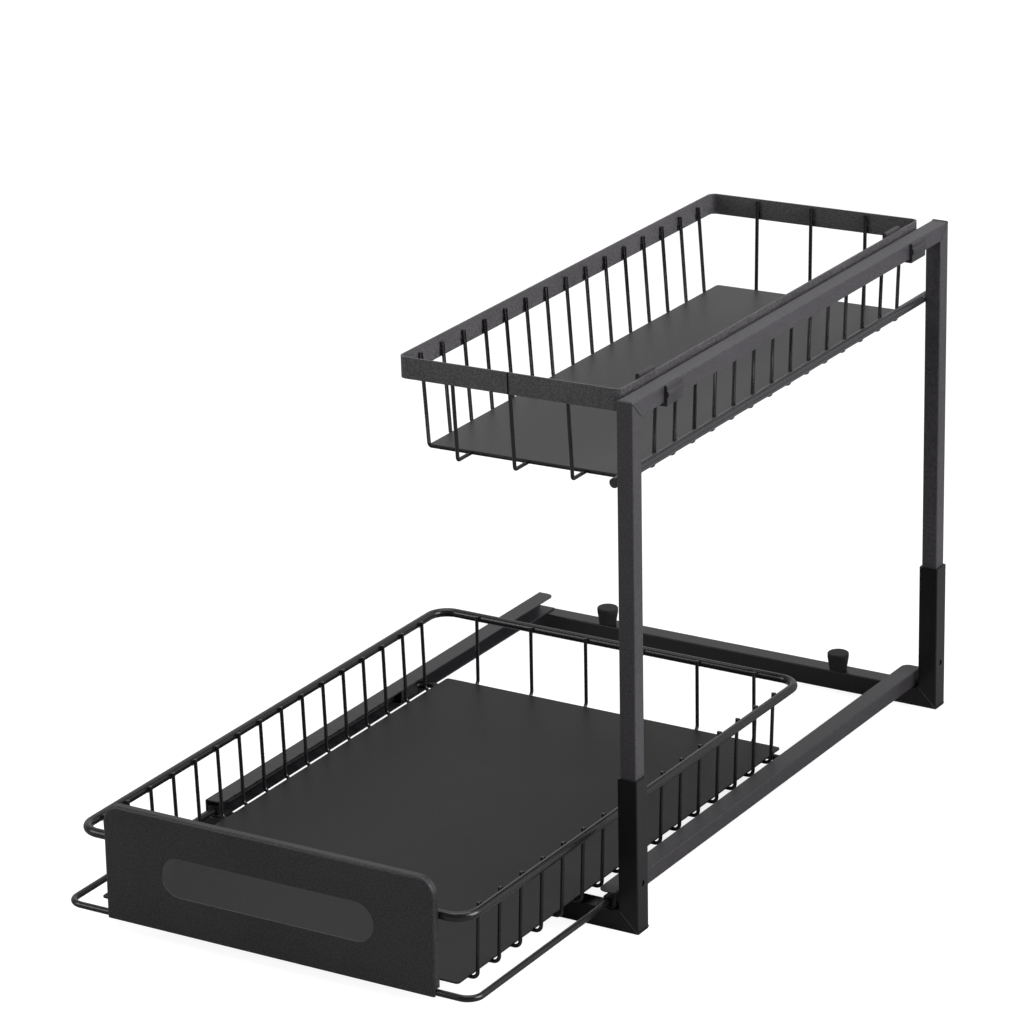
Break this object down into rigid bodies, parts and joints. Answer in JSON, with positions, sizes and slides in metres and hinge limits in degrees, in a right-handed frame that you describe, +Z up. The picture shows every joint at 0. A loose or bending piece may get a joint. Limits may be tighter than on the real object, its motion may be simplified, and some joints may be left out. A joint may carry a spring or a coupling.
{
  "type": "pull out cabinet basket",
  "caption": "Under-sink organiser: a bent-wire lower basket slides out in channel rails, and a narrow upper basket hangs in clips on a portal of square tube.",
  "frame": {"origin": "on the floor, in the middle of the whole outline with the lower basket as pictured, partly pulled out", "axes": "+X to the right with the portal on the right, +Y from the front panel to the back, +Z up"},
  "size_m": [0.307, 0.5534, 0.3284],
  "materials": {
    "frame_coat": "fine satin powder coat in dark grey",
    "basket_coat": "fine satin powder coat in near black",
    "black_plastic": "satin moulded plastic",
    "rubber": "matt rubber"
  },
  "bodies": {
    "frame": {"front_crossbar": "frame_coat", "rear_crossbar": "frame_coat", "crossbar_end_plugs": "black_plastic", "front_socket": "frame_coat", "rear_socket": "frame_coat", "front_upright": "frame_coat", "rear_upright": "frame_coat", "top_rail": "frame_coat", "support_rod": "frame_coat", "left_slide_rail": "frame_coat", "right_slide_rail": "frame_coat", "left_rail_guide": "black_plastic", "right_rail_guide": "black_plastic", "rear_bumpers": "rubber", "front_basket_clip": "black_plastic", "rear_basket_clip": "black_plastic"},
    "lower_basket": {"front_panel": "basket_coat", "lower_rim_wire": "basket_coat", "slide_wire": "basket_coat", "lower_tray": "basket_coat", "lower_cross_wires": "basket_coat", "lower_back_wires": "basket_coat", "left_rear_glide": "black_plastic", "right_rear_glide": "black_plastic"},
    "upper_basket": {"upper_rim_strip": "basket_coat", "upper_tray": "basket_coat", "upper_cross_wires": "basket_coat", "upper_front_wires": "basket_coat", "upper_back_wires": "basket_coat"}
  },
  "joints": [
    {"name": "lower_slide", "type": "slide", "parent": "frame", "child": "lower_basket", "axis": [0, 1, 0], "range_m": [-0.1925, 0.14]},
    {"name": "upper_lift", "type": "slide", "parent": "frame", "child": "upper_basket", "axis": [0, 0, 1], "range_m": [0, 0.03]}
  ]
}
